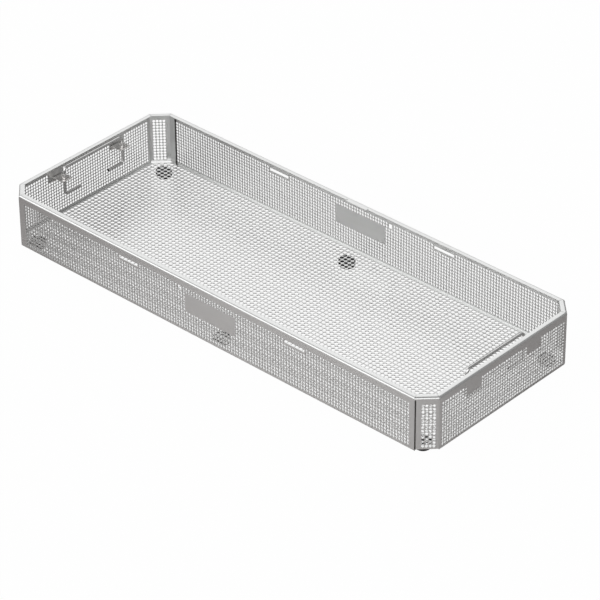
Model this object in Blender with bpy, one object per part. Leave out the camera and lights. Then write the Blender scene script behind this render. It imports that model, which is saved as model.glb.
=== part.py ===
# Perforated steel basket: one folded sheet, two lifting handles on guide brackets, six rubber feet.
# Metres, +Z up, +X along the basket, origin under its middle at the feet.

import math

import bmesh
import bpy
from mathutils import Vector
from mathutils.geometry import delaunay_2d_cdt

# Folded sheet
LENGTH = 0.540              # over the end walls
WIDTH = 0.2120              # over the long walls
WALL_HEIGHT = 0.0578        # underside of the floor to the top of the rim
SHEET = 0.0008              # sheet thickness
BEND_RADIUS = 0.0022        # outer radius of every fold
CORNER_CUT = 0.0160         # plan size of the 45 degree corners
RIM_DEPTH = 0.0055          # turned-in rim, from the wall's outer face
TAB_LENGTH = 0.0079         # corner tab, welded inside the long wall
SEAM = 0.00015              # half of the gap at a mitre
RELIEF = 0.0005             # corner relief below the rim

# Perforation, drawn as fewer and larger windows with the same open share as the small holes
OPEN_SHARE = 0.385          # open part of a perforated field
SIDE_MARGIN = 0.0063        # long wall, from its end to the field
END_MARGIN = 0.0037         # end wall, from its fold to the field
TOP_MARGIN = 0.0073         # rim top to the field
FOOT_MARGIN = 0.0030        # underside of the floor to the walls' field
FLOOR_MARGIN = 0.0026       # floor field to the long walls' outer face
FLOOR_END_MARGIN = 0.0050   # floor field to the end walls' outer face
CORNER_MARGIN = 0.0044      # corner panel, from its folds to the field
SIDE_COLUMN_COUNT = 13      # windows on each side of the label place
SIDE_ROW_COUNT = 2          # window rows in each of the long wall's two bands
END_COLUMN_COUNT = 11
END_ROW_COUNT = 3
CORNER_ROW_COUNT = 4
FLOOR_COLUMN_COUNT = 7      # between two feet
FLOOR_ROW_COUNT = 5         # between the two rows of feet

# Plain places and larger openings in the walls
TOP_BAND = 0.0068           # height of the band that holds the slots
SLOT_LENGTH = 0.0255
SLOT_WIDTH = 0.0032
SLOT_FRONT_LEFT = -0.1070   # slot centres from the middle of each long wall
SLOT_FRONT_RIGHT = 0.1070
SLOT_BACK_LEFT = -0.1036
SLOT_BACK_RIGHT = 0.1070
SLOT_DROP = 0.0103          # slot centre below the rim top
CATCH_HOLE = 0.0050         # small square hole beside the label place
CATCH_FRONT = -0.0374
CATCH_BACK = 0.0408
LABEL_LENGTH = 0.0645       # plain place in the middle of both long walls
LABEL_PLACE = 0.0017
PATCH_LENGTH = 0.0204       # plain place for a handle bracket
PATCH_HEIGHT = 0.0102
PATCH_INNER = 0.0322        # inner edge of the patches, from the middle of the end wall
TONGUE_LENGTH = 0.0280      # wider stretch of the back rim
TONGUE_PLACE = 0.0020
TONGUE_DEPTH = 0.0016
TONGUE_SLIT = 0.0006

# Handles, brackets and guide rings
WIRE = 0.0030               # wire diameter
HANDLE_INSET = 0.0108       # wire centre from the end wall's outer face
HANDLE_SPAN = 0.0806        # between the two legs
HANDLE_TOP = 0.0570         # bar centre above the underside of the floor
HANDLE_LEG = 0.0296         # bar centre to foot centre
HANDLE_FOOT = 0.0208        # leg centre to the foot's end
HANDLE_BEND = 0.0055        # centre-line radius of the wire's bends at the bar
FOOT_BEND = 0.0032          # and at its turned-in feet
BRACKET_WIDTH = 0.0130
BRACKET_SHEET = 0.0010
SHELF_TOP = 0.0453          # above the underside of the floor
SHELF_REACH = 0.0157        # from the end wall's outer face
FLANGE_DROP = 0.0050        # shelf top to the flange's lower edge
RING_DIAMETER = 0.0050
RING_HEIGHT = 0.0057
WIRE_PLAY = 0.0003          # radial play of the wire in its ring and shelf

# Feet
FOOT_DIAMETER = 0.0168
FOOT_HEIGHT = 0.0072        # floor's underside above the table
FOOT_ROUND = 0.0022
FOOT_END_INSET = 0.0204     # feet from the outer face of the end walls
FOOT_SIDE_INSET = 0.0178    # and of the long walls

SEAT = 0.0003               # gap between pieces that touch
FOLD_STEP_COUNT = 3         # facets in a 90 degree fold
ROUND_STEP_COUNT = 16       # facets round a turned piece

# Worked out from the sizes above
FOOT_X = LENGTH / 2 - FOOT_END_INSET
FOOT_Y = WIDTH / 2 - FOOT_SIDE_INSET
MITRE = math.tan(math.pi / 8)
FOLD = BEND_RADIUS * math.pi / 2
HALF_FOLD = FOLD / 2
FLOOR_X = LENGTH / 2 - BEND_RADIUS
FLOOR_Y = WIDTH / 2 - BEND_RADIUS
SIDE_END = LENGTH / 2 - CORNER_CUT
END_HALF = WIDTH / 2 - CORNER_CUT
RISE_WALL = FOLD
RISE_RIM = RISE_WALL + WALL_HEIGHT - 2 * BEND_RADIUS
RISE_LIP = RISE_RIM + FOLD
RISE_EDGE = RISE_LIP + RIM_DEPTH - BEND_RADIUS
RISE_RELIEF = RISE_RIM - RELIEF
TAB_INSET = SHEET + SEAT
END_FLAT = END_HALF - BEND_RADIUS * MITRE
CORNER_START = END_FLAT + HALF_FOLD
CORNER_ZERO = CORNER_START - BEND_RADIUS * MITRE
CORNER_END = CORNER_ZERO + (CORNER_CUT - TAB_INSET) * math.sqrt(2) - BEND_RADIUS * MITRE
CORNER_TIP = CORNER_ZERO + CORNER_CUT * math.sqrt(2)
TAB_START = CORNER_END + HALF_FOLD
TAB_EDGE = TAB_START + TAB_LENGTH

# A strip's legs are (length on the outer face, turn); every fold turns inwards
WALL_LEGS = (
    (FOLD, math.pi / 2),
    (RISE_RIM - RISE_WALL, 0.0),
    (FOLD, math.pi / 2),
    (RIM_DEPTH, 0.0),
)
END_LEGS = (
    (END_FLAT, 0.0),
    (HALF_FOLD, math.pi / 4),
    (CORNER_END - CORNER_START, 0.0),
    (HALF_FOLD, math.pi / 4),
    (TAB_LENGTH, 0.0),
)


def clear_scene():
    for item in list(bpy.data.objects):
        bpy.data.objects.remove(item, do_unlink=True)


def make_material(name, colour, roughness, metallic):
    material = bpy.data.materials.new(name)
    material.use_nodes = True
    shader = material.node_tree.nodes["Principled BSDF"]
    shader.inputs["Base Color"].default_value = (*colour, 1.0)
    shader.inputs["Roughness"].default_value = roughness
    shader.inputs["Metallic"].default_value = metallic
    return material


def add_object(name, data, material, location=(0.0, 0.0, 0.0), parent=None):
    item = bpy.data.objects.new(name, data)
    item.location = location
    item.parent = parent
    data.materials.append(material)
    bpy.context.scene.collection.objects.link(item)
    return item


def mesh_from(name, shape, smooth=False):
    mesh = bpy.data.meshes.new(name)
    shape.to_mesh(mesh)
    shape.free()
    if smooth:
        mesh.shade_smooth()
        mesh.set_sharp_from_angle(angle=math.radians(40))
    return mesh


# Folding

def along(legs, distance):
    """Point and heading on the outer face of a folded strip that starts along +x."""
    x, y, heading = 0.0, 0.0, 0.0
    for length, turn in legs:
        step = min(distance, length)
        if turn:
            radius = length / turn
            angle = step / radius
            x += radius * (math.sin(heading + angle) - math.sin(heading))
            y += radius * (math.cos(heading) - math.cos(heading + angle))
            heading += angle
        else:
            x += step * math.cos(heading)
            y += step * math.sin(heading)
        distance -= step
        if distance <= 0.0:
            break
    return x + distance * math.cos(heading), y + distance * math.sin(heading), heading


def offset_inwards(x, y, heading, depth):
    return x - depth * math.sin(heading), y + depth * math.cos(heading)


def wall_section(rise, depth):
    """How far a point of a wall lies outside the floor's edge, and its height."""
    if rise <= 0.0:
        return rise, depth
    return offset_inwards(*along(WALL_LEGS, rise), depth)


def end_plan(place, on_rim):
    """Plan of the end wall and its corner panel; the rim runs straight past the folds."""
    if not on_rim:
        return along(END_LEGS, place)
    if place < END_FLAT + HALF_FOLD / 2:
        return place, 0.0, 0.0
    x, y, heading = along(END_LEGS, CORNER_START)
    run = place - CORNER_START
    return x + run * math.cos(heading), y + run * math.sin(heading), heading


def fold_basket(point):
    """Move a point of the flat blank to its place in the folded basket."""
    u, v, depth = point
    if abs(u) <= FLOOR_X:
        out, height = wall_section(abs(v) - FLOOR_Y, depth)
        return Vector((u, math.copysign(FLOOR_Y + out, v), height))
    rise = abs(u) - FLOOR_X
    out, height = wall_section(rise, depth)
    plan = end_plan(abs(v), rise > RISE_RIM - RELIEF / 2)
    y, inset = offset_inwards(*plan, BEND_RADIUS - out)
    return Vector((math.copysign(LENGTH / 2 - inset, u), math.copysign(y, v), height))


# Flat blanks

def rectangle(x, y, width, height):
    left, right = x - width / 2, x + width / 2
    low, high = y - height / 2, y + height / 2
    return [(left, low), (right, low), (right, high), (left, high)]


def circle(x, y, radius, steps):
    turns = [2 * math.pi * k / steps for k in range(steps)]
    return [(x + radius * math.cos(a), y + radius * math.sin(a)) for a in turns]


def windows(x0, x1, columns, y0, y1, rows):
    """A field of windows, each open by the same share of its cell."""
    width, height = (x1 - x0) / columns, (y1 - y0) / rows
    scale = math.sqrt(OPEN_SHARE)
    return [
        rectangle(x0 + (i + 0.5) * width, y0 + (j + 0.5) * height, width * scale, height * scale)
        for i in range(columns)
        for j in range(rows)
    ]


def inside(point, loop):
    hit = False
    for (x0, y0), (x1, y1) in zip(loop, loop[1:] + loop[:1]):
        if (y0 > point.y) != (y1 > point.y):
            if point.x < x0 + (point.y - y0) * (x1 - x0) / (y1 - y0):
                hit = not hit
    return hit


def in_any(point, loops, boxes):
    return any(
        low_x < point.x < high_x and low_y < point.y < high_y and inside(point, loop)
        for loop, (low_x, high_x, low_y, high_y) in zip(loops, boxes)
    )


def flat_blank(outline, openings, folds, thickness):
    """A flat slab with its openings cut and an edge along every fold line."""
    points, edges = [], []
    for loop in [outline] + openings:
        first = len(points)
        points += loop
        edges += [(first + k, first + (k + 1) % len(loop)) for k in range(len(loop))]
    for fold in folds:
        edges.append((len(points), len(points) + 1))
        points += fold
    verts, _, faces, *_ = delaunay_2d_cdt([Vector(p) for p in points], edges, [], 1, 1e-7)
    boxes = [
        (min(x for x, _ in loop), max(x for x, _ in loop),
         min(y for _, y in loop), max(y for _, y in loop))
        for loop in openings
    ]
    blank = bmesh.new()
    corners = [blank.verts.new((p.x, p.y, 0.0)) for p in verts]
    for face in faces:
        middle = sum((verts[k] for k in face), Vector((0.0, 0.0))) / len(face)
        if inside(middle, outline) and not in_any(middle, openings, boxes):
            blank.faces.new([corners[k] for k in face])
    loose = [v for v in blank.verts if not v.link_faces]
    bmesh.ops.delete(blank, geom=loose, context='VERTS')
    top = bmesh.ops.extrude_face_region(blank, geom=blank.faces[:])
    raised = [item for item in top["geom"] if isinstance(item, bmesh.types.BMVert)]
    bmesh.ops.translate(blank, vec=(0.0, 0.0, thickness), verts=raised)
    bmesh.ops.recalc_face_normals(blank, faces=blank.faces[:])
    return blank


# The basket's blank

def rim_steps():
    """Rises of the rim's fold lines and its edge, each with its depth behind the outer face."""
    steps = []
    for k in range(FOLD_STEP_COUNT + 1):
        rise = RISE_RIM + FOLD * k / FOLD_STEP_COUNT
        steps.append((rise, BEND_RADIUS - wall_section(rise, 0.0)[0]))
    return steps + [(RISE_EDGE, RIM_DEPTH)]


def corner_outline():
    """One quarter of the blank's outline, from the end wall's rim round to the long wall's."""
    rim = rim_steps()
    relief, foot = FLOOR_X + RISE_RELIEF, FLOOR_X + RISE_WALL
    points = [(FLOOR_X + rise, END_HALF - depth * MITRE - SEAM) for rise, depth in reversed(rim)]
    points += [(relief, END_FLAT), (relief, CORNER_START)]
    points += [(FLOOR_X + rise, CORNER_ZERO + depth * MITRE + SEAM) for rise, depth in rim]
    points += [(FLOOR_X + rise, CORNER_TIP - depth * MITRE - SEAM) for rise, depth in reversed(rim)]
    points += [(relief, CORNER_END), (relief, TAB_EDGE), (foot, TAB_EDGE)]
    points += [(foot, END_FLAT), (FLOOR_X, END_FLAT)]
    points += [(FLOOR_X, END_HALF + BEND_RADIUS), (SIDE_END + BEND_RADIUS, FLOOR_Y)]
    points += [(SIDE_END - SEAM, FLOOR_Y)]
    points += [(SIDE_END - SEAM - depth * MITRE, FLOOR_Y + rise) for rise, depth in rim]
    return points


def tongue_outline():
    """The wider stretch of the back rim, between two slits."""
    edge = FLOOR_Y + RISE_EDGE
    right, left = TONGUE_PLACE + TONGUE_LENGTH / 2, TONGUE_PLACE - TONGUE_LENGTH / 2
    root = edge - TONGUE_DEPTH
    tip = edge + TONGUE_DEPTH
    return [
        (right, edge), (right, root), (right - TONGUE_SLIT, root), (right - TONGUE_SLIT, tip),
        (left + TONGUE_SLIT, tip), (left + TONGUE_SLIT, root), (left, root), (left, edge),
    ]


def basket_outline():
    corner = corner_outline()
    turned = [(-x, y) for x, y in reversed(corner)]
    front = [(-x, -y) for x, y in corner]
    front_turned = [(x, -y) for x, y in reversed(corner)]
    return corner + tongue_outline() + turned + front + front_turned


def basket_folds():
    """Fold lines: along the long walls, along the end walls, and up the corner panels."""
    folds = []
    rim = rim_steps()[:-1]
    foot_rises = [FOLD * k / FOLD_STEP_COUNT for k in range(FOLD_STEP_COUNT + 1)]
    for side in (-1, 1):
        for rise in foot_rises:
            y, x = side * (FLOOR_Y + rise), side * (FLOOR_X + rise)
            folds.append([(-SIDE_END + SEAM, y), (SIDE_END - SEAM, y)])
            folds.append([(x, -END_FLAT), (x, END_FLAT)])
        for rise, depth in rim:
            y, x = side * (FLOOR_Y + rise), side * (FLOOR_X + rise)
            half = SIDE_END - SEAM - depth * MITRE
            folds.append([(-half, y), (half, y)])
            half = END_HALF - SEAM - depth * MITRE
            folds.append([(x, -half), (x, half)])
            near, far = CORNER_ZERO + SEAM + depth * MITRE, CORNER_TIP - SEAM - depth * MITRE
            folds += [[(x, turn * near), (x, turn * far)] for turn in (-1, 1)]
        low, high = side * (FLOOR_X + RISE_WALL), side * (FLOOR_X + RISE_RELIEF)
        for start in (END_FLAT, CORNER_END):
            for place in (start, start + HALF_FOLD / 2, start + HALF_FOLD):
                folds += [[(low, turn * place), (high, turn * place)] for turn in (-1, 1)]
    return folds


def wall_place(height):
    """Distance along a wall's outer face from the floor's edge to a height."""
    return RISE_WALL + height - BEND_RADIUS


def side_openings(side):
    """Windows, slots and the small square hole of one long wall; side is +1 at the back."""
    field = SIDE_END - SIDE_MARGIN
    low, high = FOOT_MARGIN, WALL_HEIGHT - TOP_MARGIN - TOP_BAND
    middle = (low + high) / 2
    label_left, label_right = LABEL_PLACE - LABEL_LENGTH / 2, LABEL_PLACE + LABEL_LENGTH / 2
    label_columns = round(LABEL_LENGTH / ((field - label_right) / SIDE_COLUMN_COUNT))
    openings = []
    for y0, y1 in ((low, middle), (middle, high)):
        openings += windows(-field, label_left, SIDE_COLUMN_COUNT, y0, y1, SIDE_ROW_COUNT)
        openings += windows(label_right, field, SIDE_COLUMN_COUNT, y0, y1, SIDE_ROW_COUNT)
    openings += windows(label_left, label_right, label_columns, low, middle, SIDE_ROW_COUNT)
    slot_height = WALL_HEIGHT - SLOT_DROP
    slots = (SLOT_BACK_LEFT, SLOT_BACK_RIGHT) if side > 0 else (SLOT_FRONT_LEFT, SLOT_FRONT_RIGHT)
    for place in slots:
        openings.append(rectangle(place, slot_height, SLOT_LENGTH, SLOT_WIDTH))
    catch = CATCH_BACK if side > 0 else CATCH_FRONT
    openings.append(rectangle(catch, slot_height, CATCH_HOLE, CATCH_HOLE))
    return [[(x, side * (FLOOR_Y + wall_place(z))) for x, z in loop] for loop in openings]


def end_openings(end):
    """Windows of one end wall and its two corner panels; the ends are alike, turned about Z."""
    field = END_FLAT - END_MARGIN
    low, high = FOOT_MARGIN, WALL_HEIGHT - TOP_MARGIN
    shoulder = high - PATCH_HEIGHT
    near, far = PATCH_INNER, -PATCH_INNER
    pitch = 2 * field / END_COLUMN_COUNT
    openings = windows(-field, field, END_COLUMN_COUNT, low, shoulder, END_ROW_COUNT)
    spans = ((-field, far - PATCH_LENGTH), (far, near), (near + PATCH_LENGTH, field))
    for y0, y1 in spans:
        openings += windows(y0, y1, max(1, round((y1 - y0) / pitch)), shoulder, high, 1)
    panel = (CORNER_START + CORNER_MARGIN, CORNER_END - CORNER_MARGIN)
    for side in (-1, 1):
        corner = windows(*panel, 1, low, high, CORNER_ROW_COUNT)
        openings += [[(side * y, z) for y, z in loop] for loop in corner]
    return [[(end * (FLOOR_X + wall_place(z)), -end * y) for y, z in loop] for loop in openings]


def floor_openings():
    """Floor windows, laid out so that a foot sits under a crossing of solid strips."""
    half_x, half_y = LENGTH / 2 - FLOOR_END_MARGIN, WIDTH / 2 - FLOOR_MARGIN
    column_spans = (
        (-half_x, -FOOT_X, 1), (-FOOT_X, 0.0, FLOOR_COLUMN_COUNT),
        (0.0, FOOT_X, FLOOR_COLUMN_COUNT), (FOOT_X, half_x, 1),
    )
    row_spans = ((-half_y, -FOOT_Y, 1), (-FOOT_Y, FOOT_Y, FLOOR_ROW_COUNT), (FOOT_Y, half_y, 1))
    openings = []
    for x0, x1, columns in column_spans:
        for y0, y1, rows in row_spans:
            corner_cell = columns == 1 and rows == 1
            if not corner_cell:
                openings += windows(x0, x1, columns, y0, y1, rows)
    return openings


def make_basket(material):
    openings = floor_openings()
    for side in (-1, 1):
        openings += side_openings(side)
        openings += end_openings(side)
    shape = flat_blank(basket_outline(), openings, basket_folds(), SHEET)
    for vert in shape.verts:
        vert.co = fold_basket(vert.co)
    add_object("basket_body", mesh_from("basket_body", shape), material, (0.0, 0.0, FOOT_HEIGHT))


# Handles and their guides

def arc_points(centre, radius, start, end, steps):
    angles = [start + (end - start) * k / steps for k in range(steps + 1)]
    return [(centre[0] + radius * math.cos(a), centre[1] + radius * math.sin(a)) for a in angles]


def handle_path():
    """Half of the wire's centre line in (y, z), from the end of its foot to the bar's middle."""
    leg, low = HANDLE_SPAN / 2, -HANDLE_LEG
    turn, steps = HANDLE_BEND, 2 * FOLD_STEP_COUNT
    lower = arc_points((leg - FOOT_BEND, low + FOOT_BEND), FOOT_BEND, -math.pi / 2, 0.0, steps)
    upper = arc_points((leg - turn, -turn), turn, 0.0, math.pi / 2, steps)
    return [(leg - HANDLE_FOOT, low)] + lower + upper


def make_handle(name, end, material):
    half = handle_path()
    path = half + [(-y, z) for y, z in reversed(half)]
    curve = bpy.data.curves.new(name, 'CURVE')
    curve.dimensions = '3D'
    curve.bevel_depth = WIRE / 2
    curve.bevel_resolution = 2
    curve.use_fill_caps = True
    spline = curve.splines.new('POLY')
    spline.points.add(len(path) - 1)
    for point, (y, z) in zip(spline.points, path):
        point.co = (0.0, y, z, 1.0)
    place = (end * (LENGTH / 2 - HANDLE_INSET), 0.0, FOOT_HEIGHT + HANDLE_TOP)
    add_object(name, curve, material, place)


def make_bracket(name, end, side, material):
    """An angle of sheet: a flange on the end wall and a shelf that the wire passes through."""
    back = SHEET + SEAT
    fold = BRACKET_SHEET * math.pi / 2
    flange = FLANGE_DROP - BRACKET_SHEET
    shelf = SHELF_REACH - back - BRACKET_SHEET
    wire = flange + fold + HANDLE_INSET - back - BRACKET_SHEET
    outline = rectangle((flange + fold + shelf) / 2, 0.0, flange + fold + shelf, BRACKET_WIDTH)
    hole = circle(wire, 0.0, WIRE / 2 + WIRE_PLAY, ROUND_STEP_COUNT)
    half = BRACKET_WIDTH / 2
    lines = [flange + fold * k / FOLD_STEP_COUNT for k in range(FOLD_STEP_COUNT + 1)]
    folds = [[(x, -half), (x, half)] for x in lines]
    shape = flat_blank(outline, [hole], folds, BRACKET_SHEET)
    legs = ((flange, 0.0), (fold, math.pi / 2), (shelf, 0.0))
    for vert in shape.verts:
        rise, inset = offset_inwards(*along(legs, vert.co.x), vert.co.z)
        vert.co = Vector((-end * (inset + back), end * vert.co.y, rise))
    place = (end * LENGTH / 2, side * HANDLE_SPAN / 2, FOOT_HEIGHT + SHELF_TOP - FLANGE_DROP)
    add_object(name, mesh_from(name, shape), material, place)


def turned(profile, closed):
    """Spin an (r, z) profile about Z."""
    shape = bmesh.new()
    verts = [shape.verts.new((r, 0.0, z)) for r, z in profile]
    pairs = list(zip(verts, verts[1:] + verts[:1])) if closed else list(zip(verts, verts[1:]))
    edges = [shape.edges.new(pair) for pair in pairs]
    bmesh.ops.spin(shape, geom=verts + edges, cent=(0.0, 0.0, 0.0), axis=(0.0, 0.0, 1.0),
                   angle=2 * math.pi, steps=ROUND_STEP_COUNT, use_merge=True)
    bmesh.ops.remove_doubles(shape, verts=shape.verts[:], dist=1e-6)
    bmesh.ops.recalc_face_normals(shape, faces=shape.faces[:])
    return shape


def make_ring(name, end, side, material):
    """Guide ring on the shelf; the bar's bend rests on it."""
    inner, outer = WIRE / 2 + WIRE_PLAY, RING_DIAMETER / 2
    profile = [(inner, 0.0), (outer, 0.0), (outer, RING_HEIGHT), (inner, RING_HEIGHT)]
    mesh = mesh_from(name, turned(profile, True), smooth=True)
    place = (end * (LENGTH / 2 - HANDLE_INSET), side * HANDLE_SPAN / 2,
             FOOT_HEIGHT + SHELF_TOP + SEAT)
    add_object(name, mesh, material, place)


def make_foot(name, x, y, material):
    """Round rubber foot under the floor, with a rounded lower edge."""
    radius, top = FOOT_DIAMETER / 2, FOOT_HEIGHT - SEAT
    lower = arc_points((radius - FOOT_ROUND, FOOT_ROUND), FOOT_ROUND, -math.pi / 2, 0.0, 2)
    profile = [(0.0, 0.0)] + lower + [(radius, top), (0.0, top)]
    add_object(name, mesh_from(name, turned(profile, False), smooth=True), material, (x, y, 0.0))


def main():
    clear_scene()
    steel = make_material("brushed_sheet", (0.55, 0.55, 0.54), 0.42, 1.0)
    wire = make_material("handle_wire", (0.42, 0.42, 0.42), 0.32, 1.0)
    bracket = make_material("bracket_steel", (0.50, 0.50, 0.50), 0.38, 1.0)
    rubber = make_material("foot_rubber", (0.015, 0.015, 0.016), 0.75, 0.0)
    make_basket(steel)
    for end_name, end in (("left", -1), ("right", 1)):
        make_handle(f"{end_name}_handle", end, wire)
        for side_name, side in (("front", -1), ("back", 1)):
            make_bracket(f"{end_name}_{side_name}_bracket", end, side, bracket)
            make_ring(f"{end_name}_{side_name}_guide_ring", end, side, bracket)
    for column, x in (("left", -FOOT_X), ("middle", 0.0), ("right", FOOT_X)):
        for row, y in (("front", -FOOT_Y), ("back", FOOT_Y)):
            make_foot(f"{column}_{row}_foot", x, y, rubber)


main()
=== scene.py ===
import math

import bmesh
import bpy
from mathutils import Matrix, Vector


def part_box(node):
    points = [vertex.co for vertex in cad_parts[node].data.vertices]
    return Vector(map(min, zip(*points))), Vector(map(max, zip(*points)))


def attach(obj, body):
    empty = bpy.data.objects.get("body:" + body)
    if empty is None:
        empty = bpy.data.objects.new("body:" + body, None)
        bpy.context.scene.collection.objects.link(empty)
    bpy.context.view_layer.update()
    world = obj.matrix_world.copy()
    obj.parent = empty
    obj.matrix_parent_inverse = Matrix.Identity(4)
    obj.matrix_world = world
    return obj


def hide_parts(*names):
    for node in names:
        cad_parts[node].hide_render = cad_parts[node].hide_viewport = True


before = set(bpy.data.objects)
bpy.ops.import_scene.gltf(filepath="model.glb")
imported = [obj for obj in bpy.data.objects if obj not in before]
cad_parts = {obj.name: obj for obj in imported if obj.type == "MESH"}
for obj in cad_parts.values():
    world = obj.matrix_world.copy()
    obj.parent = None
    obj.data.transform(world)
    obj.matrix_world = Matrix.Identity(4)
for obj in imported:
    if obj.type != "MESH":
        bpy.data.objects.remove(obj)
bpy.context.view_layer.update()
print("stage: frame loaded")

# points and lines closer than this are taken as one
pointTolerance = 1e-6
lineTolerance = 1e-5
# corner distance of an octagon over the radius of the circle of the same area
octagonReach = math.sqrt(math.pi / (2 * math.sqrt(2)))

# the folded sheet; its overall size comes from the frame
sheet = {
    "thickness": 0.0008,
    "bendRadius": 0.0022,
    "footRadius": 0.0010,
    "panelFoot": 0.0014,
    "cornerGap": 0.0021,
    "cornerCut": 0.0160,
    "rimDepth": 0.0055,
    "tabLength": 0.0068,
    "tabLip": 0.0005,
    "tabPlay": 0.0003,
    "seam": 0.00015,
    "wallOver": 0.0004,
    "relief": 0.0005,
    "foldSteps": 6,
    "cornerSteps": 2,
    "footShadeLine": 0.0010,
    "floorStrip": 0.0002,
    "edgeClear": 0.0005,
    "innerShare": 0.9,
    "smoothAngle": 50,
}
# a stretch of the back rim that stands further in, between two slits,
# and the wall columns whose lines are drawn to its sides
tongue = {
    "length": 0.0280,
    "place": 0.0020,
    "depth": 0.0016,
    "slit": 0.0010,
    "columns": (69, 77),
}

# the small holes: square grids, pitches and diameters
perforation = {
    "wallPitch": 0.0033912,
    "wallHole": 0.0029,
    "firstRow": 0.00468,
    "wallRows": 14,
    "sideColumns": 146,
    "endColumns": 51,
    "cornerColumns": 4,
    "cornerShift": -0.0009,
    "cornerHole": 0.0030,
    "frontShift": 0.0006,
    "backShift": -0.0001,
    "floorPitch": 0.004718,
    "floorHole": 0.0042,
    "floorColumns": 113,
    "floorRows": 43,
    "floorShift": (-0.0003, 0.0015),
    "cornerClear": 0.0042,
    "insetShare": 0.12,
    "blockInset": 0.0004,
}

# plain places and larger openings, in columns and rows of the wall grid; row 0 is the lowest
sideFeatures = {
    "labelColumns": (64, 82),
    "labelRows": (6, 11),
    "slots": ((38, 45), (101, 108)),
    "slotRows": (12, 13),
    "slotLength": 0.0255,
    "slotWidth": 0.0032,
    "slotRaise": 0.0004,
    "catchFront": (61, 62),
    "catchBack": (84, 85),
    "catchHole": 0.0050,
}
endFeatures = {
    "patchNear": (35, 40),
    "patchFar": (10, 15),
    "patchRows": (11, 13),
}

sheetLow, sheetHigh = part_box("basket_body")
halfLength = (sheetHigh.x - sheetLow.x) / 2
halfWidth = (sheetHigh.y - sheetLow.y) / 2
wallHeight = sheetHigh.z - sheetLow.z
floorUnderside = sheetLow.z
bendRadius = sheet["bendRadius"]
mitre = math.tan(math.pi / 8)
footRadius = sheet["footRadius"]
fold, footFold = bendRadius * math.pi / 2, footRadius * math.pi / 2
floorX = halfLength - footRadius
floorY = halfWidth - footRadius
sideEnd = halfLength - sheet["cornerCut"]
wallEnd = sideEnd + sheet["wallOver"]
endHalf = halfWidth - sheet["cornerCut"]
# rises, measured up the flat sheet from the floor's edge
riseWall = footFold
riseRim = riseWall + wallHeight - footRadius - bendRadius
riseLip = riseRim + fold
riseEdge = riseLip + sheet["rimDepth"] - bendRadius
riseRelief = riseRim - sheet["relief"]
rowStart = riseWall + perforation["firstRow"] - footRadius - perforation["wallPitch"] / 2
# places, measured round the flat sheet from the middle of an end wall
tabInset = sheet["thickness"] + sheet["tabPlay"]
endFlat = endHalf - bendRadius * mitre
cornerStart = endFlat + fold / 2
cornerZero = cornerStart - bendRadius * mitre
cornerEnd = cornerZero + (sheet["cornerCut"] - tabInset) * math.sqrt(2) - bendRadius * mitre
cornerTip = cornerZero + sheet["cornerCut"] * math.sqrt(2)
cornerMiddle = (cornerStart + cornerEnd) / 2 + perforation["cornerShift"]
tabStart = cornerEnd + fold / 2
tabEdge = tabStart + sheet["tabLength"]

# legs of a folded strip: length on the outer face, turn
wallLegs = (
    (footFold, math.pi / 2),
    (riseRim - riseWall, 0.0),
    (fold, math.pi / 2),
    (sheet["rimDepth"] * 2, 0.0),
)
endLegs = (
    (endFlat, 0.0),
    (fold / 2, math.pi / 4),
    (cornerEnd - cornerStart, 0.0),
    (fold / 2, math.pi / 4),
    (sheet["tabLength"], 0.0),
)


def along(legs, distance):
    # point and heading on the outer face of a strip that starts along +x
    x, y, heading = 0.0, 0.0, 0.0
    for length, turn in legs:
        step = min(distance, length)
        if turn:
            radius = length / turn
            angle = step / radius
            x += radius * (math.sin(heading + angle) - math.sin(heading))
            y += radius * (math.cos(heading) - math.cos(heading + angle))
            heading += angle
        else:
            x += step * math.cos(heading)
            y += step * math.sin(heading)
        distance -= step
        if distance <= 0.0:
            break
    return x + distance * math.cos(heading), y + distance * math.sin(heading), heading


def wallSection(rise, depth):
    # out from the floor's edge and up, for a rise and a depth into the sheet
    if rise <= 0.0:
        return rise, depth
    x, y, heading = along(wallLegs, rise)
    return x - depth * math.sin(heading), y + depth * math.cos(heading)


def rimDepthAt(rise):
    # how far the rim has turned in at this rise
    return max(0.0, footRadius - wallSection(rise, 0.0)[0]) if rise > riseRim else 0.0


def endPlan(place, onRim):
    # the wall goes round its corners in folds, the rim has straight legs that meet at a mitre
    if not onRim:
        return along(endLegs, place)
    if place < endFlat + fold / 4:
        return place, 0.0, 0.0
    x, y, heading = along(endLegs, cornerStart)
    run = place - cornerStart
    return x + run * math.cos(heading), y + run * math.sin(heading), heading


def foldSide(point, side):
    # flat (x, rise, depth) to its place on a long wall
    out, height = wallSection(point.y, point.z)
    return Vector((point.x, side * (floorY + out), floorUnderside + height))


def foldEnd(point, end):
    # flat (place round the end, rise, depth) to its place on an end wall or corner panel
    out, height = wallSection(point.y, point.z)
    onPanel = endFlat + pointTolerance < abs(point.x) < cornerEnd + pointTolerance
    if onPanel and abs(point.y - riseWall) < pointTolerance:
        height = sheet["panelFoot"]
    x, y, heading = endPlan(abs(point.x), point.y > riseRim - sheet["relief"] / 2)
    depth = footRadius - out
    across = x - depth * math.sin(heading)
    inset = y + depth * math.cos(heading)
    spot = (halfLength - inset, -math.copysign(across, point.x), floorUnderside + height)
    return Vector((end * spot[0], end * spot[1], spot[2]))


def steps(start, end, count):
    return [start + (end - start) * k / count for k in range(count + 1)]


def gridLines(middle, pitch, count):
    return [middle + (k - count / 2) * pitch for k in range(count + 1)]


def lineGrid(xLines, yLines):
    # one flat grid whose lines lie where they are wanted
    shape = bmesh.new()
    columns, rows = len(xLines) - 1, len(yLines) - 1
    bmesh.ops.create_grid(shape, x_segments=columns, y_segments=rows, size=0.5)
    for vert in shape.verts:
        i = round((vert.co.x + 0.5) * columns)
        j = round((vert.co.y + 0.5) * rows)
        vert.co = (xLines[i], yLines[j], 0.0)
    return shape


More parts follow.
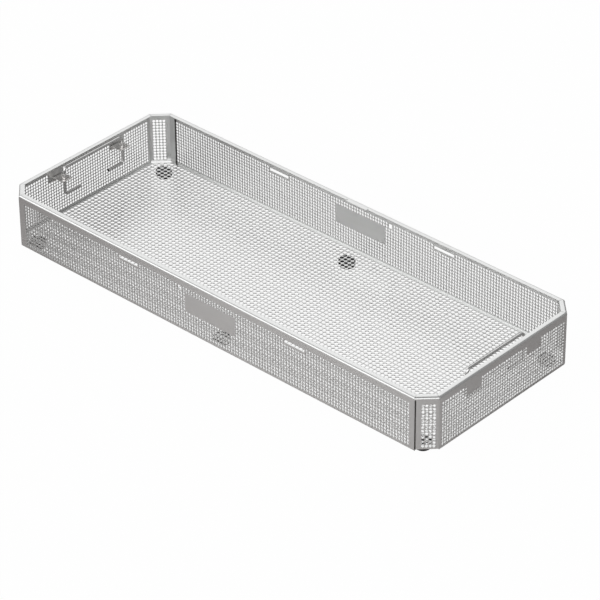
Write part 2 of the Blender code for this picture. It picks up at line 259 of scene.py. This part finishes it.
def cellsOf(shape, xStart, yStart, pitch, columns, rows):
    # faces of a hole grid by (column, row), each with its hole's centre
    cells = {}
    for face in shape.faces:
        middle = face.calc_center_median()
        i = math.floor((middle.x - xStart) / pitch)
        j = math.floor((middle.y - yStart) / pitch)
        if 0 <= i < columns and 0 <= j < rows:
            centre = Vector((xStart + (i + 0.5) * pitch, yStart + (j + 0.5) * pitch, 0.0))
            cells[i, j] = (face, centre)
    return cells


def punchHoles(shape, holes, diameter):
    # an eight-sided hole of the round hole's area in each cell
    faces = [face for face, centre in holes]
    radius = diameter / 2 * octagonReach
    bmesh.ops.inset_individual(shape, faces=faces, thickness=diameter * perforation["insetShare"])
    edges = list({edge for face in faces for edge in face.edges})
    bmesh.ops.bisect_edges(shape, edges=edges, cuts=1)
    for face, centre in holes:
        middle = face.calc_center_median()
        for vert in face.verts:
            away = vert.co - middle
            turn = round(math.atan2(away.y, away.x) / (math.pi / 4)) * math.pi / 4
            vert.co = centre + radius * Vector((math.cos(turn), math.sin(turn), 0.0))
    bmesh.ops.delete(shape, geom=faces, context='FACES')


def openLarge(shape, cells, columns, rows, width, height, raised):
    # joins a block of cells and cuts one larger rectangular opening in it
    faces = [
        cells[i, j][0]
        for i in range(columns[0], columns[1] + 1)
        for j in range(rows[0], rows[1] + 1)
    ]
    low = cells[columns[0], rows[0]][1]
    high = cells[columns[1], rows[1]][1]
    centre = (low + high) / 2 + Vector((0.0, raised, 0.0))
    block = bmesh.ops.dissolve_faces(shape, faces=faces)["region"][0]
    bmesh.ops.inset_individual(shape, faces=[block], thickness=perforation["blockInset"])
    middle = block.calc_center_bounds()
    spreadX, spreadY = (
        max(abs(vert.co[axis] - middle[axis]) for vert in block.verts) for axis in (0, 1)
    )
    for vert in block.verts:
        away = vert.co - middle
        share = Vector((away.x / spreadX * width / 2, away.y / spreadY * height / 2, 0.0))
        vert.co = centre + share
    bmesh.ops.delete(shape, geom=[block], context='FACES')


def thicken(shape):
    raised = bmesh.ops.extrude_face_region(shape, geom=shape.faces[:])
    verts = [item for item in raised["geom"] if isinstance(item, bmesh.types.BMVert)]
    bmesh.ops.translate(shape, vec=(0.0, 0.0, sheet["thickness"]), verts=verts)


def markFaces(shape, chosen, finish=1):
    # gives another of the sheet's finishes to the faces that are chosen on the flat sheet
    for face in shape.faces:
        if chosen(face.calc_center_median()):
            face.material_index = finish


def finishMesh(name, shape, angle):
    bmesh.ops.recalc_face_normals(shape, faces=shape.faces[:])
    mesh = bpy.data.meshes.new(name)
    shape.to_mesh(mesh)
    shape.free()
    mesh.shade_smooth()
    mesh.set_sharp_from_angle(angle=math.radians(angle))
    return mesh


def addPiece(name, shape, angle, material, body, slotName, *replaced):
    mesh = finishMesh(name, shape, angle)
    piece = bpy.data.objects.new(name, mesh)
    bpy.context.scene.collection.objects.link(piece)
    mesh.materials.append(material)
    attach(piece, body)
    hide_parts(*replaced)
    return piece


def addSheet(name, shape, material, *others):
    piece = addPiece(name, shape, sheet["smoothAngle"], material,
                     "basket", "sheet_steel", "basket_body")
    for other in others:
        piece.data.materials.append(other)
    return piece


def wallRises(tongued=False):
    # lines across a wall: its foot fold, the hole rows, the rim's fold and edge
    pitch, depth = perforation["wallPitch"], tongue["depth"]
    edges = [riseEdge - depth, riseEdge, riseEdge + depth] if tongued else [riseEdge]
    rows = [rowStart + j * pitch for j in range(perforation["wallRows"] + 1)]
    foot = [-sheet["floorStrip"]] + steps(0.0, riseWall, sheet["foldSteps"])
    # an extra line above the foot fold bounds the painted shade strip
    foot.append(riseWall + sheet["footShadeLine"])
    rim = steps(riseRim, riseLip, sheet["foldSteps"]) + edges
    return foot + rows + [riseRelief] + rim


def inSpan(value, span):
    return span[0] <= value <= span[1]


def makeSide(name, side, material, paintedLightMaterial, footShadeMaterial):
    pitch, columns = perforation["wallPitch"], perforation["sideColumns"]
    shift = perforation["backShift"] if side > 0 else perforation["frontShift"]
    xLines = [-wallEnd] + gridLines(shift, pitch, columns) + [wallEnd]
    shape = lineGrid(xLines, wallRises(side > 0))
    xStart = shift - columns / 2 * pitch
    cells = cellsOf(shape, xStart, rowStart, pitch, columns, perforation["wallRows"])
    slot = (sideFeatures["slotLength"], sideFeatures["slotWidth"], sideFeatures["slotRaise"])
    large = [(span, *slot) for span in sideFeatures["slots"]]
    catch = sideFeatures["catchBack"] if side > 0 else sideFeatures["catchFront"]
    large.append((catch, sideFeatures["catchHole"], sideFeatures["catchHole"], 0.0))
    spans, slotRows = [item[0] for item in large], sideFeatures["slotRows"]
    holes = []
    for (i, j), cell in cells.items():
        onLabel = inSpan(i, sideFeatures["labelColumns"]) and inSpan(j, sideFeatures["labelRows"])
        onLarge = inSpan(j, slotRows) and any(inSpan(i, span) for span in spans)
        if not onLabel and not onLarge:
            holes.append(cell)
    punchHoles(shape, holes, perforation["wallHole"])
    for span, width, height, raised in large:
        openLarge(shape, cells, span, slotRows, width, height, raised)
    if side > 0:
        cutTongue(shape, xStart)
    mitreSide(shape)
    thicken(shape)
    # painted seam shade on the cut ends, and a painted shade strip inside, above the foot fold
    innerFace = sheet["thickness"] * sheet["innerShare"]
    shadeStripStart = riseWall + sheet["footShadeLine"]
    markFaces(shape, lambda spot: abs(spot.x) > wallEnd - pointTolerance)
    markFaces(shape, lambda spot: spot.z > innerFace and shadeStripStart < spot.y < rowStart, 2)
    for vert in shape.verts:
        vert.co = foldSide(vert.co, side)
    return addSheet(name, shape, material, paintedLightMaterial, footShadeMaterial)


def cutTongue(shape, xStart):
    # moves four lines of the rim to the slits' sides, then cuts the slits and the spare edge away
    pitch, columns = perforation["wallPitch"], tongue["columns"]
    low, high = (tongue["place"] + side * tongue["length"] / 2 for side in (-1, 1))
    sides = {
        columns[0]: low, columns[0] + 1: low + tongue["slit"],
        columns[1]: high - tongue["slit"], columns[1] + 1: high,
    }
    lines = {xStart + column * pitch: place for column, place in sides.items()}
    for vert in shape.verts:
        for line, place in lines.items():
            onLine = abs(vert.co.x - line) < lineTolerance
            if onLine and vert.co.y > riseLip - pointTolerance:
                vert.co.x = place
    spare = []
    for face in shape.faces:
        middle = face.calc_center_median()
        onTongue = low + tongue["slit"] < middle.x < high - tongue["slit"]
        onSlit = low < middle.x < high and not onTongue
        if middle.y > riseEdge and not onTongue:
            spare.append(face)
        elif onSlit and middle.y > riseEdge - tongue["depth"]:
            spare.append(face)
    bmesh.ops.delete(shape, geom=spare, context='FACES')


def mitreSide(shape):
    # draws the rim's ends back to the mitres
    for vert in shape.verts:
        atEnd = abs(vert.co.x) > wallEnd - pointTolerance
        if atEnd and vert.co.y > riseRim + pointTolerance:
            reach = sideEnd - sheet["seam"] - rimDepthAt(vert.co.y) * mitre
            vert.co.x = math.copysign(reach, vert.co.x)


def endPlaces():
    # lines round an end: wall columns, corner folds, corner columns, tab
    pitch, columns = perforation["wallPitch"], perforation["endColumns"]
    half = [line for line in gridLines(0.0, pitch, columns) if line > pointTolerance]
    half += steps(endFlat, cornerStart, sheet["cornerSteps"])
    half += gridLines(cornerMiddle, pitch, perforation["cornerColumns"])
    half += steps(cornerEnd, tabStart, sheet["cornerSteps"])
    half += [tabEdge - sheet["tabLip"], tabEdge]
    middle = [] if columns % 2 else [0.0]
    return [-place for place in reversed(half)] + middle + half


def trimEnd(shape):
    # cuts the foot away under the corner panels and the rim away over the folds and tabs
    spare = []
    for face in shape.faces:
        middle = face.calc_center_median()
        place, rise = abs(middle.x), middle.y
        onFold = endFlat < place < cornerStart
        onTab = place > cornerEnd
        if place > endFlat and rise < riseWall:
            spare.append(face)
        elif (onFold or onTab) and rise > riseRelief:
            spare.append(face)
    bmesh.ops.delete(shape, geom=spare, context='FACES')


def mitreEnd(shape):
    # draws the rim's ends out to the mitres
    for vert in shape.verts:
        place, rise = abs(vert.co.x), vert.co.y
        if rise < riseRim - pointTolerance:
            continue
        depth = rimDepthAt(rise)
        if abs(place - endFlat) < pointTolerance:
            place = endHalf - depth * mitre - sheet["seam"]
        elif abs(place - cornerStart) < pointTolerance:
            place = cornerZero + depth * mitre + sheet["seam"]
        elif abs(place - cornerEnd) < pointTolerance:
            place = cornerTip - depth * mitre - sheet["seam"]
        vert.co.x = math.copysign(place, vert.co.x)


def makeEnd(name, end, material, paintedLightMaterial):
    pitch, rows = perforation["wallPitch"], perforation["wallRows"]
    columns, cornerColumns = perforation["endColumns"], perforation["cornerColumns"]
    shape = lineGrid(endPlaces(), wallRises())
    trimEnd(shape)
    cells = cellsOf(shape, -columns / 2 * pitch, rowStart, pitch, columns, rows)
    holes = []
    for (i, j), cell in cells.items():
        near, far = inSpan(i, endFeatures["patchNear"]), inSpan(i, endFeatures["patchFar"])
        if not ((near or far) and inSpan(j, endFeatures["patchRows"])):
            holes.append(cell)
    corners = []
    for side in (-1, 1):
        start = side * cornerMiddle - cornerColumns / 2 * pitch
        corners += cellsOf(shape, start, rowStart, pitch, cornerColumns, rows).values()
    punchHoles(shape, holes, perforation["wallHole"])
    punchHoles(shape, corners, perforation["cornerHole"])
    mitreEnd(shape)
    thicken(shape)
    # the tab's edge and the outside of its fold get painted seam shade
    half = sheet["thickness"] / 2
    markFaces(shape, lambda spot: (
        abs(spot.x) > tabEdge - sheet["tabLip"]
        or (cornerEnd + fold / 4 < abs(spot.x) < tabStart and spot.z < half)
    ))
    for vert in shape.verts:
        vert.co = foldEnd(vert.co, end)
    return addSheet(name, shape, material, paintedLightMaterial)


def makeFloor(name, material, paintedLightMaterial):
    pitch = perforation["floorPitch"]
    columns, rows = perforation["floorColumns"], perforation["floorRows"]
    shiftX, shiftY = perforation["floorShift"]
    yEnd = floorY - sheet["floorStrip"]
    xLines = [-floorX] + gridLines(shiftX, pitch, columns) + [floorX]
    yLines = [-yEnd] + gridLines(shiftY, pitch, rows) + [yEnd]
    shape = lineGrid(xLines, yLines)
    cells = cellsOf(shape, xLines[1], yLines[1], pitch, columns, rows)
    cornerLine = sideEnd + halfWidth - sheet["cornerGap"] * math.sqrt(2)
    reach = cornerLine - perforation["cornerClear"] * math.sqrt(2)
    holes = [cell for cell in cells.values() if abs(cell[1].x) + abs(cell[1].y) < reach]
    punchHoles(shape, holes, perforation["floorHole"])
    for x in (-1, 1):
        for y in (-1, 1):
            geom = shape.verts[:] + shape.edges[:] + shape.faces[:]
            bmesh.ops.bisect_plane(shape, geom=geom, plane_co=(x * cornerLine, 0.0, 0.0),
                                   plane_no=(x, y, 0.0), clear_outer=True)
    thicken(shape)
    # the holes' sides get a lighter finish, a painted reflection of the white under the basket;
    # the floor's edge doesn't
    half, clear = sheet["thickness"] / 2, sheet["edgeClear"]
    markFaces(shape, lambda spot: (
        abs(spot.z - half) < half / 2
        and abs(spot.x) < floorX - clear
        and abs(spot.y) < yEnd - clear
        and abs(spot.x) + abs(spot.y) < cornerLine - 2 * clear
    ))
    bmesh.ops.translate(shape, vec=(0.0, 0.0, floorUnderside), verts=shape.verts[:])
    return addSheet(name, shape, material, paintedLightMaterial)


# wire handles
wire = {
    "diameter": 0.0030,
    "bendRadius": 0.0055,
    "footBend": 0.0032,
    "footLength": 0.0208,
    "sides": 20,
    "bendSteps": 8,
    "endBevel": 0.0005,
    "smoothAngle": 40,
}


def bendWire(shape, face, centre, angle):
    turned = bmesh.ops.spin(shape, geom=[face], cent=centre, axis=(1.0, 0.0, 0.0), angle=angle,
                            steps=wire["bendSteps"])
    return [item for item in turned["geom_last"] if isinstance(item, bmesh.types.BMFace)][0]


def runWire(shape, face, direction, length):
    made = bmesh.ops.extrude_discrete_faces(shape, faces=[face])["faces"][0]
    bmesh.ops.translate(shape, vec=Vector(direction) * length, verts=made.verts[:])
    return made


def makeHandle(end, material):
    node = f"{end}_handle"
    low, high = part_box(node)
    radius, bend, footBend = wire["diameter"] / 2, wire["bendRadius"], wire["footBend"]
    x, leg = (low.x + high.x) / 2, high.y - radius
    bottom, top = low.z + radius, high.z - radius
    shape = bmesh.new()
    tip = leg - wire["footLength"]
    turn = Matrix.Rotation(math.pi / 2, 4, 'X')
    start = Matrix.Translation(Vector((x, tip, bottom))) @ turn
    ring = bmesh.ops.create_circle(shape, cap_ends=True, segments=wire["sides"],
                                   radius=radius, matrix=start)
    face = ring["verts"][0].link_faces[0]
    face = runWire(shape, face, (0, 1, 0), wire["footLength"] - footBend)
    face = bendWire(shape, face, (x, leg - footBend, bottom + footBend), math.pi / 2)
    face = runWire(shape, face, (0, 0, 1), top - bottom - bend - footBend)
    face = bendWire(shape, face, (x, leg - bend, top - bend), math.pi / 2)
    face = runWire(shape, face, (0, -1, 0), leg - bend)
    bmesh.ops.delete(shape, geom=[face], context='FACES')
    geom = shape.verts[:] + shape.edges[:] + shape.faces[:]
    bmesh.ops.mirror(shape, geom=geom, axis='Y', merge_dist=lineTolerance)
    bmesh.ops.remove_doubles(shape, verts=shape.verts[:], dist=pointTolerance)
    bmesh.ops.recalc_face_normals(shape, faces=shape.faces[:])
    footTop = bottom + 2 * radius
    ends = [
        edge for edge in shape.edges
        if all(abs(abs(vert.co.y) - tip) < pointTolerance and vert.co.z < footTop
               for vert in edge.verts)
    ]
    bmesh.ops.bevel(shape, geom=ends, offset=wire["endBevel"], affect='EDGES', segments=2,
                    profile=0.5, material=-1)
    return addPiece(f"{end}_wire", shape, wire["smoothAngle"], material, node, "wire_steel", node)


# brackets and guide rings
bracket = {
    "flatAngle": 1,
    "smoothAngle": 40,
    "edgeBevel": 0.00015,
    "ringWall": 0.0007,
    "ringBevel": 0.00025,
    "bevelMiddle": 0.3,
    "ringSteps": 32,
}


def makeBracket(node, material):
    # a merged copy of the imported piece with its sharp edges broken
    shape = bmesh.new()
    shape.from_mesh(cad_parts[node].data)
    bmesh.ops.remove_doubles(shape, verts=shape.verts[:], dist=pointTolerance)
    bmesh.ops.dissolve_limit(shape, angle_limit=math.radians(bracket["flatAngle"]),
                             verts=shape.verts[:], edges=shape.edges[:])
    least = math.radians(bracket["smoothAngle"])
    sharp = [
        edge for edge in shape.edges
        if len(edge.link_faces) == 2 and edge.calc_face_angle(0.0) > least
    ]
    bmesh.ops.bevel(shape, geom=sharp, offset=bracket["edgeBevel"], affect='EDGES', segments=2,
                    profile=0.5, material=-1, clamp_overlap=True)
    return addPiece(f"{node}_plate", shape, bracket["smoothAngle"], material,
                    "basket", "wire_steel", node)


def spinProfile(profile, centre, count, closed):
    # turns (radius, height) points once round an upright axis
    shape = bmesh.new()
    verts = [shape.verts.new((centre.x + r, centre.y, z)) for r, z in profile]
    following = verts[1:] + verts[:1] if closed else verts[1:]
    edges = [shape.edges.new(pair) for pair in zip(verts, following)]
    bmesh.ops.spin(shape, geom=verts + edges, cent=(centre.x, centre.y, 0.0), axis=(0.0, 0.0, 1.0),
                   angle=2 * math.pi, steps=count, use_merge=True)
    bmesh.ops.remove_doubles(shape, verts=shape.verts[:], dist=pointTolerance)
    return shape


def makeRing(node, material):
    low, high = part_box(node)
    centre = (low + high) / 2
    outer, bevel = (high.x - low.x) / 2, bracket["ringBevel"]
    inner = outer - bracket["ringWall"]
    cut = bevel * bracket["bevelMiddle"]
    profile = [
        (inner, low.z), (outer, low.z), (outer, high.z - bevel), (outer - cut, high.z - cut),
        (outer - bevel, high.z), (inner, high.z),
    ]
    shape = spinProfile(profile, centre, bracket["ringSteps"], True)
    return addPiece(f"{node}_collar", shape, bracket["smoothAngle"], material,
                    "basket", "wire_steel", node)


# rubber feet
foot = {
    "steps": 48,
    "round": 0.0022,
    "roundSteps": 5,
    "topRound": 0.0004,
    "smoothAngle": 40,
}


def makeFoot(node, material):
    low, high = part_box(node)
    centre = (low + high) / 2
    radius, turn, top = (high.x - low.x) / 2, foot["round"], foot["topRound"]
    lower = [(radius - turn + turn * math.sin(a), low.z + turn - turn * math.cos(a))
             for a in steps(0.0, math.pi / 2, foot["roundSteps"])]
    upper = [(radius, high.z - top), (radius - top, high.z), (0.0, high.z)]
    shape = spinProfile([(0.0, low.z)] + lower + upper, centre, foot["steps"], False)
    return addPiece(f"{node}_pad", shape, foot["smoothAngle"], material,
                    "basket", "foot_rubber", node)


# finishes: the brushed sheet, then the plain values that the other pieces start from
steelFinish = {
    "colour": (0.80, 0.805, 0.80),
    "roughness": 0.33,
    "grainScale": 700.0,
    "grainBump": 0.06,
    "mottleScale": 14.0,
    "mottle": 0.05,
    "brush": (1.0, 12.0, 12.0),
}
# painted shade: a darker copy of the sheet for a strip low inside the long walls, above the foot
# fold
footShadeFinish = {**steelFinish, "colour": (0.50, 0.505, 0.50)}
plainFinish = {
    "grainScale": 900.0,
    "grainBump": 0.05,
    "mottleScale": 40.0,
    "mottle": 0.05,
    "brush": (1.0, 1.0, 1.0),
}
# painted shade: near-black for the seams, on the long walls' cut ends, the tabs' edges and the
# outside of the tab folds
seamShadeFinish = {
    **plainFinish,
    "colour": (0.10, 0.095, 0.09),
    "roughness": 0.5,
    "grainBump": 0.1,
    "mottle": 0.2,
}
# painted light: a lighter copy of the steel for the floor holes' sides, standing in for the white
# they reflect
litHoleFinish = {
    **plainFinish,
    "colour": (0.88, 0.88, 0.875),
    "roughness": 0.6,
    "mottle": 0.03,
}
collarFinish = {
    **plainFinish,
    "colour": (0.88, 0.87, 0.86),
    "roughness": 0.25,
    "grainBump": 0.03,
}
bracketFinish = {
    **plainFinish,
    "colour": (0.92, 0.90, 0.885),
    "roughness": 0.35,
    "mottleScale": 60.0,
    "mottle": 0.1,
}
wireFinish = {
    **plainFinish,
    "colour": (0.72, 0.715, 0.71),
    "roughness": 0.18,
}
rubberFinish = {
    **plainFinish,
    "colour": (0.006, 0.006, 0.0065),
    "roughness": 0.95,
    "grainScale": 1500.0,
    "grainBump": 0.25,
    "mottleScale": 60.0,
    "mottle": 0.2,
}
noise = {
    "grainDetail": 3.0,
    "mottleDetail": 4.0,
    "bumpDepth": 0.0002,
}


def grainGroup():
    # fine grain as a height, and a slow mottle for colour and roughness
    group = bpy.data.node_groups.new("fineGrain", 'ShaderNodeTree')
    socket = group.interface.new_socket
    for name in ("Grain Scale", "Mottle Scale", "Mottle"):
        socket(name=name, in_out='INPUT', socket_type='NodeSocketFloat')
    socket(name="Vector", in_out='INPUT', socket_type='NodeSocketVector')
    socket(name="Height", in_out='OUTPUT', socket_type='NodeSocketFloat')
    socket(name="Shade", in_out='OUTPUT', socket_type='NodeSocketFloat')
    nodes, links = group.nodes, group.links
    inputs, outputs = nodes.new('NodeGroupInput'), nodes.new('NodeGroupOutput')
    grain, mottle = nodes.new('ShaderNodeTexNoise'), nodes.new('ShaderNodeTexNoise')
    grain.inputs["Detail"].default_value = noise["grainDetail"]
    mottle.inputs["Detail"].default_value = noise["mottleDetail"]
    spread = nodes.new('ShaderNodeMath')
    spread.operation = 'SUBTRACT'
    spread.inputs[1].default_value = 0.5
    amount = nodes.new('ShaderNodeMath')
    amount.operation = 'MULTIPLY_ADD'
    amount.inputs[2].default_value = 1.0
    links.new(inputs.outputs["Vector"], grain.inputs["Vector"])
    links.new(inputs.outputs["Vector"], mottle.inputs["Vector"])
    links.new(inputs.outputs["Grain Scale"], grain.inputs["Scale"])
    links.new(inputs.outputs["Mottle Scale"], mottle.inputs["Scale"])
    links.new(mottle.outputs["Fac"], spread.inputs[0])
    links.new(spread.outputs[0], amount.inputs[0])
    links.new(inputs.outputs["Mottle"], amount.inputs[1])
    links.new(grain.outputs["Fac"], outputs.inputs["Height"])
    links.new(amount.outputs[0], outputs.inputs["Shade"])
    return group


def makeMaterial(name, finish, metallic, group):
    material = bpy.data.materials.new(name)
    material.use_nodes = True
    nodes, links = material.node_tree.nodes, material.node_tree.links
    shader = nodes["Principled BSDF"]
    shader.inputs["Metallic"].default_value = metallic
    place, turn = nodes.new('ShaderNodeTexCoord'), nodes.new('ShaderNodeMapping')
    turn.inputs["Scale"].default_value = finish["brush"]
    grain = nodes.new('ShaderNodeGroup')
    grain.node_tree = group
    grain.inputs["Grain Scale"].default_value = finish["grainScale"]
    grain.inputs["Mottle Scale"].default_value = finish["mottleScale"]
    grain.inputs["Mottle"].default_value = finish["mottle"]
    tint = nodes.new('ShaderNodeVectorMath')
    tint.operation = 'SCALE'
    tint.inputs[0].default_value = finish["colour"]
    rough = nodes.new('ShaderNodeMath')
    rough.operation = 'MULTIPLY'
    rough.inputs[1].default_value = finish["roughness"]
    bump = nodes.new('ShaderNodeBump')
    bump.inputs["Strength"].default_value = finish["grainBump"]
    bump.inputs["Distance"].default_value = noise["bumpDepth"]
    links.new(place.outputs["Object"], turn.inputs["Vector"])
    links.new(turn.outputs["Vector"], grain.inputs["Vector"])
    links.new(grain.outputs["Shade"], tint.inputs["Scale"])
    links.new(tint.outputs["Vector"], shader.inputs["Base Color"])
    links.new(grain.outputs["Shade"], rough.inputs[0])
    links.new(rough.outputs[0], shader.inputs["Roughness"])
    links.new(grain.outputs["Height"], bump.inputs["Height"])
    links.new(bump.outputs["Normal"], shader.inputs["Normal"])
    return material


# stage: a pale table with a painted pool of light that the basket reflects, a soft room and one
# large soft lamp
stage = {
    "tableSize": 12.0,
    # painted pool of light on the table, seen only by the basket: the near colour within reach of
    # the centre, the far one beyond
    "paintedPoolNear": (0.68, 0.657, 0.65),
    "paintedPoolFar": (0.41, 0.39, 0.385),
    "paintedPoolCentre": (0.12, -0.25),
    "paintedPoolReach": (0.15, 0.50),
    "tablePale": (0.9, 0.9, 0.9),
    "tableWhite": 0.98,
    "skyLow": 0.4,
    "skyHigh": 1.09,
    "skySpan": (-0.05, 0.5),
    "skyTop": 0.2,
    "topSpan": (0.62, 0.85),
    "frontGain": 0.6,
    "frontSpan": (0.1, -0.6),
    "rightGain": 0.35,
    "rightSpan": (0.2, 0.7),
    "rightWay": (0.68, 0.73, 0.0),
    "lampPower": 2.0,
    "lampSize": 1.6,
    "lampPlace": (-0.6, 0.9, 1.8),
}
# the photo's view; focal length and picture width are in pixels
view = {
    "azimuth": 42.80806,
    "elevation": 33.75306,
    "roll": -0.52386,
    "distance": 3.1792259,
    "right": 0.0139054,
    "up": -0.0030882,
    "focal": 3321.4938,
    "picture": 600,
    "sensor": 36.0,
}


def makeTable():
    # nearly white to the camera; to the basket, a painted pool of light, lighter near one spot and
    # greyer further out
    shape = bmesh.new()
    bmesh.ops.create_grid(shape, x_segments=1, y_segments=1, size=stage["tableSize"])
    mesh = bpy.data.meshes.new("table")
    shape.to_mesh(mesh)
    shape.free()
    table = bpy.data.objects.new("table", mesh)
    bpy.context.scene.collection.objects.link(table)
    material = bpy.data.materials.new("tableTop")
    material.use_nodes = True
    nodes, links = material.node_tree.nodes, material.node_tree.links
    nodes.clear()
    output, path = nodes.new('ShaderNodeOutputMaterial'), nodes.new('ShaderNodeLightPath')
    poolDiffuse, pale = nodes.new('ShaderNodeBsdfDiffuse'), nodes.new('ShaderNodeBsdfDiffuse')
    white, place = nodes.new('ShaderNodeEmission'), nodes.new('ShaderNodeTexCoord')
    spot, poolTone = nodes.new('ShaderNodeVectorMath'), nodes.new('ShaderNodeMix')
    spot.operation = 'DISTANCE'
    spot.inputs[1].default_value = (*stage["paintedPoolCentre"], 0.0)
    reach = nodes.new('ShaderNodeMapRange')
    reach.interpolation_type = 'SMOOTHSTEP'
    for socket, value in zip(("From Min", "From Max"), stage["paintedPoolReach"]):
        reach.inputs[socket].default_value = value
    poolTone.data_type = 'RGBA'
    poolTone.inputs["A"].default_value = (*stage["paintedPoolNear"], 1.0)
    poolTone.inputs["B"].default_value = (*stage["paintedPoolFar"], 1.0)
    links.new(place.outputs["Object"], spot.inputs[0])
    links.new(spot.outputs["Value"], reach.inputs["Value"])
    links.new(reach.outputs["Result"], poolTone.inputs["Factor"])
    links.new(poolTone.outputs["Result"], poolDiffuse.inputs["Color"])
    pale.inputs["Color"].default_value = (*stage["tablePale"], 1.0)
    white.inputs["Strength"].default_value = 1.0
    seen, mix = nodes.new('ShaderNodeMixShader'), nodes.new('ShaderNodeMixShader')
    seen.inputs["Fac"].default_value = stage["tableWhite"]
    links.new(pale.outputs[0], seen.inputs[1])
    links.new(white.outputs[0], seen.inputs[2])
    links.new(path.outputs["Is Camera Ray"], mix.inputs["Fac"])
    links.new(poolDiffuse.outputs[0], mix.inputs[1])
    links.new(seen.outputs[0], mix.inputs[2])
    links.new(mix.outputs[0], output.inputs["Surface"])
    mesh.materials.append(material)


def makeRoom():
    world = bpy.data.worlds.new("room")
    bpy.context.scene.world = world
    world.use_nodes = True
    nodes, links = world.node_tree.nodes, world.node_tree.links
    background = nodes["Background"]
    background.inputs["Color"].default_value = (1.0, 1.0, 1.0, 1.0)
    place, parts = nodes.new('ShaderNodeTexCoord'), nodes.new('ShaderNodeSeparateXYZ')
    across = nodes.new('ShaderNodeVectorMath')
    across.operation = 'DOT_PRODUCT'
    across.inputs[1].default_value = stage["rightWay"]
    links.new(place.outputs["Generated"], parts.inputs[0])
    links.new(place.outputs["Generated"], across.inputs[0])
    # brighter upwards, dim overhead, brighter in front and dimmer at the right
    ramps = (
        (parts.outputs["Z"], stage["skySpan"], (stage["skyLow"], stage["skyHigh"])),
        (parts.outputs["Z"], stage["topSpan"], (1.0, stage["skyTop"])),
        (parts.outputs["Y"], stage["frontSpan"], (1.0, 1.0 + stage["frontGain"])),
        (across.outputs["Value"], stage["rightSpan"], (1.0, stage["rightGain"])),
    )
    light = None
    for source, span, levels in ramps:
        ramp = nodes.new('ShaderNodeMapRange')
        ramp.interpolation_type = 'SMOOTHSTEP'
        for socket, value in zip(("From Min", "From Max", "To Min", "To Max"), span + levels):
            ramp.inputs[socket].default_value = value
        links.new(source, ramp.inputs["Value"])
        if light:
            both = nodes.new('ShaderNodeMath')
            both.operation = 'MULTIPLY'
            links.new(light, both.inputs[0])
            links.new(ramp.outputs["Result"], both.inputs[1])
            light = both.outputs[0]
        else:
            light = ramp.outputs["Result"]
    path, mix = nodes.new('ShaderNodeLightPath'), nodes.new('ShaderNodeMix')
    mix.inputs["B"].default_value = 1.0
    links.new(light, mix.inputs["A"])
    links.new(path.outputs["Is Camera Ray"], mix.inputs["Factor"])
    links.new(mix.outputs["Result"], background.inputs["Strength"])
    lamp = bpy.data.lights.new("softLamp", 'AREA')
    lamp.energy, lamp.size = stage["lampPower"], stage["lampSize"]
    holder = bpy.data.objects.new("softLamp", lamp)
    bpy.context.scene.collection.objects.link(holder)
    holder.location = stage["lampPlace"]
    holder.rotation_euler = (-Vector(stage["lampPlace"])).to_track_quat('-Z', 'Y').to_euler()


def makeCamera():
    camera = bpy.data.cameras.new("camera")
    camera.sensor_width = view["sensor"]
    camera.lens = view["focal"] * view["sensor"] / view["picture"]
    holder = bpy.data.objects.new("camera", camera)
    bpy.context.scene.collection.objects.link(holder)
    turn = (Matrix.Rotation(math.radians(view["azimuth"]), 3, 'Z')
            @ Matrix.Rotation(math.radians(90 - view["elevation"]), 3, 'X')
            @ Matrix.Rotation(math.radians(view["roll"]), 3, 'Z'))
    base = Vector((0.0, 0.0, floorUnderside))
    spot = base + turn @ Vector((view["right"], view["up"], view["distance"]))
    holder.matrix_world = Matrix.Translation(spot) @ turn.to_4x4()
    bpy.context.scene.camera = holder


makeTable()
makeRoom()
makeCamera()
bpy.context.scene.view_settings.view_transform = 'Standard'
print("stage: table, room and camera")

grain = grainGroup()
sheetSteel = makeMaterial("sheetSteel", steelFinish, 1.0, grain)
wireSteel = makeMaterial("wireSteel", wireFinish, 1.0, grain)
bracketSteel = makeMaterial("bracketSteel", bracketFinish, 1.0, grain)
collarSteel = makeMaterial("collarSteel", collarFinish, 1.0, grain)
seamShade = makeMaterial("seamShade", seamShadeFinish, 1.0, grain)
footShadeStrip = makeMaterial("footShadeStrip", footShadeFinish, 1.0, grain)
litHoleSide = makeMaterial("litHoleSide", litHoleFinish, 1.0, grain)
footRubber = makeMaterial("footRubber", rubberFinish, 0.0, grain)

makeFloor("floor_sheet", sheetSteel, litHoleSide)
print("stage: floor")
makeSide("front_wall_sheet", -1, sheetSteel, seamShade, footShadeStrip)
makeSide("back_wall_sheet", 1, sheetSteel, seamShade, footShadeStrip)
print("stage: long walls")
makeEnd("left_end_sheet", -1, sheetSteel, seamShade)
makeEnd("right_end_sheet", 1, sheetSteel, seamShade)
print("stage: end walls")
for end in ("left", "right"):
    makeHandle(end, wireSteel)
    for side in ("front", "back"):
        makeBracket(f"{end}_{side}_bracket", bracketSteel)
        makeRing(f"{end}_{side}_guide_ring", collarSteel)
for column in ("left", "middle", "right"):
    for row in ("front", "back"):
        makeFoot(f"{column}_{row}_foot", footRubber)
print("stage: handles, brackets and feet")
